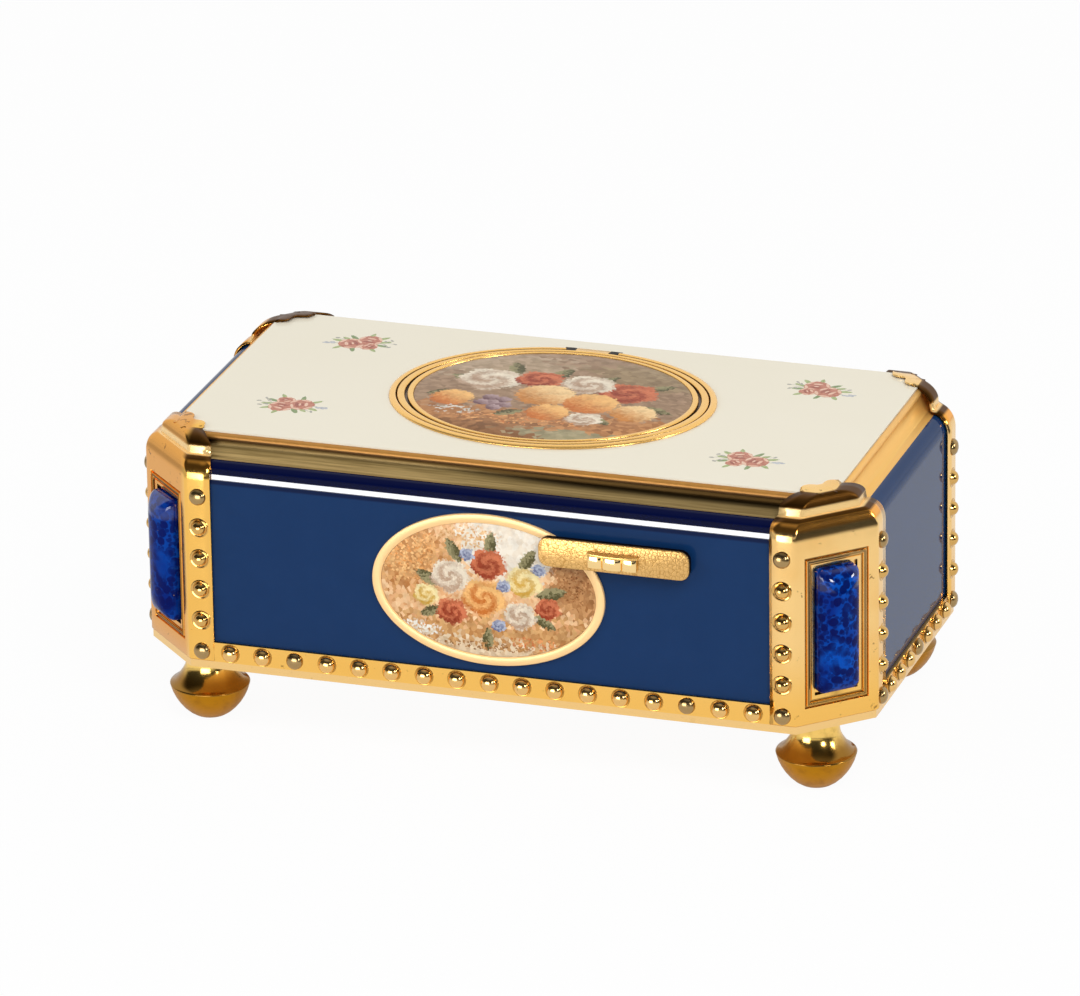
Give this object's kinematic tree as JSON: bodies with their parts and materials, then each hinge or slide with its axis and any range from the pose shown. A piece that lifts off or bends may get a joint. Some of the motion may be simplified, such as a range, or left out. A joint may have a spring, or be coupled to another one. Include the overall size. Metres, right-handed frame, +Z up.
{
  "type": "singing bird box",
  "caption": "Oblong enamelled box with canted gilt corners on turned feet, an oval hinged lid over a rising bird, and clockwork with bellows and whistle inside.",
  "frame": {"origin": "on the floor under the middle of the whole object", "axes": "+X to the right along the front wall, +Y to the rear, +Z up; the slide and plaque face -Y"},
  "size_m": [0.1116, 0.0632, 0.0465],
  "materials": {
    "gilt": "polished gilt",
    "brushed_brass": "brushed",
    "blue_enamel": "gloss",
    "cream_enamel": "gloss",
    "lapis": "polished",
    "picture_enamel": "gloss",
    "nail_bronze": "aged",
    "movement_brass": "satin",
    "steel": "satin",
    "kid_leather": "matte",
    "boxwood": "satin",
    "plumage": "matte",
    "tail_feathers": "matte"
  },
  "bodies": {
    "case": {"base_plate": "gilt", "foot_front_right": "gilt", "foot_front_left": "gilt", "foot_rear_right": "gilt", "foot_rear_left": "gilt", "corner_mount_front_right": "gilt", "corner_mount_front_left": "gilt", "corner_mount_rear_right": "gilt", "corner_mount_rear_left": "gilt", "corner_stone_front_right": "lapis", "corner_stone_front_left": "lapis", "corner_stone_rear_right": "lapis", "corner_stone_rear_left": "lapis", "front_panel": "blue_enamel", "rear_panel": "blue_enamel", "right_panel": "blue_enamel", "left_panel": "blue_enamel", "strip_front": "gilt", "strip_rear": "gilt", "strip_right": "gilt", "strip_left": "gilt", "cove_frame": "brushed_brass", "top_plate": "cream_enamel", "lid_bezel": "gilt", "lid_hinge_pin": "steel", "grille": "gilt", "plaque_rim": "gilt", "plaque_picture": "picture_enamel", "movement_lower_plate": "movement_brass", "movement_upper_plate": "movement_brass", "stop_lever_post": "movement_brass", "bellows_base": "boxwood", "bellows_leather": "kid_leather", "whistle_tube": "movement_brass"},
    "lid": {"lid_frame": "gilt", "lid_picture": "picture_enamel"},
    "slide": {"slide_plate": "gilt", "slide_bar": "movement_brass"},
    "turntable": {"bird_turntable": "movement_brass"},
    "bird": {"bird_arm": "movement_brass", "bird_body": "plumage"},
    "beak": {"bird_lower_beak": "movement_brass"},
    "right_wing": {"bird_wing_right": "plumage"},
    "left_wing": {"bird_wing_left": "plumage"},
    "tail": {"bird_tail": "tail_feathers"},
    "barrel": {"mainspring_barrel": "movement_brass", "barrel_cover": "movement_brass", "mainspring": "steel"},
    "winding": {"winding_arbor": "steel"},
    "click_lever": {"click": "steel"},
    "cams": {"cam_arbor": "movement_brass", "song_cams": "movement_brass"},
    "third": {"third_wheel": "movement_brass"},
    "governor": {"fly": "steel"},
    "stop": {"stop_lever": "movement_brass"},
    "follower": {"piston_lever": "movement_brass"},
    "piston": {"whistle_piston": "steel"},
    "bellows": {"bellows_board": "boxwood"}
  },
  "joints": [
    {"name": "lid_hinge", "type": "hinge", "parent": "case", "child": "lid", "pos_m": [0, 0.02113, 0.04572], "axis": [-1, 0, 0], "range_deg": [0, 95]},
    {"name": "slide_travel", "type": "slide", "parent": "case", "child": "slide", "axis": [1, 0, 0], "range_m": [0, 0.008]},
    {"name": "stop_swing", "type": "hinge", "parent": "case", "child": "stop", "pos_m": [0.0232, -0.00822, 0.0264], "axis": [0, 0, 1], "range_deg": [0, 24.3]},
    {"name": "bird_turn", "type": "hinge", "parent": "case", "child": "turntable", "pos_m": [0, 0.01029, 0.0342], "axis": [0, 0, 1], "range_deg": [-30, 30]},
    {"name": "bird_rise", "type": "hinge", "parent": "turntable", "child": "bird", "pos_m": [0, 0.01029, 0.0355], "axis": [-1, 0, 0], "range_deg": [0, 55]},
    {"name": "beak_open", "type": "hinge", "parent": "bird", "child": "beak", "pos_m": [0, -0.01081, 0.03915], "axis": [1, 0, 0], "range_deg": [0, 20]},
    {"name": "right_wing_flap", "type": "hinge", "parent": "bird", "child": "right_wing", "pos_m": [0.00365, 0, 0.0409], "axis": [0, -1, 0], "range_deg": [0, 55]},
    {"name": "left_wing_flap", "type": "hinge", "parent": "bird", "child": "left_wing", "pos_m": [-0.00365, 0, 0.0409], "axis": [0, 1, 0], "range_deg": [0, 55]},
    {"name": "tail_lift", "type": "hinge", "parent": "bird", "child": "tail", "pos_m": [0, 0.00598, 0.0391], "axis": [1, 0, 0], "range_deg": [0, 15]},
    {"name": "barrel_spin", "type": "hinge", "parent": "case", "child": "barrel", "pos_m": [-0.029, 0.00078, 0.02], "axis": [0, 0, 1], "continuous": true},
    {"name": "cam_spin", "type": "hinge", "parent": "case", "child": "cams", "pos_m": [-0.0116, 0.0089, 0.02], "axis": [0, 0, 1], "continuous": true},
    {"name": "third_spin", "type": "hinge", "parent": "case", "child": "third", "pos_m": [-0.00355, -0.0026, 0.02], "axis": [0, 0, 1], "continuous": true},
    {"name": "fly_spin", "type": "hinge", "parent": "case", "child": "governor", "pos_m": [0.00634, -0.00174, 0.02], "axis": [0, 0, 1], "continuous": true},
    {"name": "winding_turn", "type": "hinge", "parent": "case", "child": "winding", "pos_m": [-0.029, 0.00078, 0.02], "axis": [0, 0, 1], "continuous": true},
    {"name": "click_lift", "type": "hinge", "parent": "case", "child": "click_lever", "pos_m": [-0.023, -0.00641, 0.03], "axis": [0, 0, 1], "range_deg": [0, 12]},
    {"name": "follower_swing", "type": "hinge", "parent": "case", "child": "follower", "pos_m": [-0.012, -0.01422, 0.02], "axis": [0, 0, -1], "range_deg": [0, 4.2]},
    {"name": "piston_draw", "type": "slide", "parent": "case", "child": "piston", "axis": [0, -1, 0], "range_m": [0, 0.0023]},
    {"name": "bellows_lift", "type": "hinge", "parent": "case", "child": "bellows", "pos_m": [0, 0.02178, 0.01745], "axis": [-1, 0, 0], "range_deg": [0, 6], "deforming": ["bellows_leather"]}
  ],
  "couplings": [
    {"joint": "bird_rise", "follows": "lid_hinge", "ratio": 0.57895},
    {"joint": "left_wing_flap", "follows": "right_wing_flap", "ratio": 1},
    {"joint": "cam_spin", "follows": "barrel_spin", "ratio": -3},
    {"joint": "third_spin", "follows": "barrel_spin", "ratio": 9},
    {"joint": "fly_spin", "follows": "barrel_spin", "ratio": -27},
    {"joint": "stop_swing", "follows": "slide_travel", "rad_per_m": 52.96},
    {"joint": "piston_draw", "follows": "follower_swing", "m_per_rad": 0.031}
  ]
}
